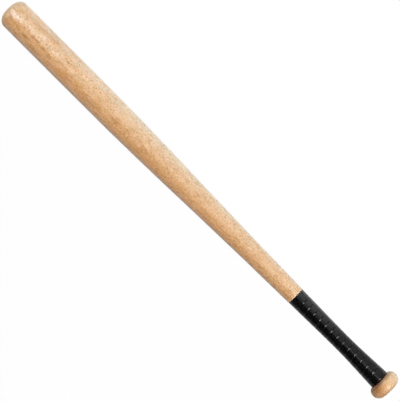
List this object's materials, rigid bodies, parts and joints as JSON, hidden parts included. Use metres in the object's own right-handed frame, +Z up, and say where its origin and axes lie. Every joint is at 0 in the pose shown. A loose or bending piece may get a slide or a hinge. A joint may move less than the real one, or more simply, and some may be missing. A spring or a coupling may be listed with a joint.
{
  "type": "baseball bat",
  "caption": "Turned wooden baseball bat lying on its side: round-tipped barrel, long taper, flared handle with a spirally wound black grip, and a rounded knob.",
  "frame": {"origin": "under the middle of the bat's length, on the surface that the bat lies on", "axes": "+X along the bat's axis from the barrel to the knob, +Z up from the surface, +Y to the side"},
  "size_m": [0.813, 0.0482, 0.0483],
  "materials": {
    "wood": "satin clear lacquer on pale, fine-flecked hardwood",
    "adhesive_tape": "double-sided cloth tape, matt",
    "grip": "black synthetic leather tape, satin",
    "finishing_tape": "black vinyl tape, satin"
  },
  "bodies": {
    "root": {"bat_body": "wood", "grip_underlay": "adhesive_tape", "grip_tape": "grip", "finishing_tape": "finishing_tape"}
  },
  "joints": []
}
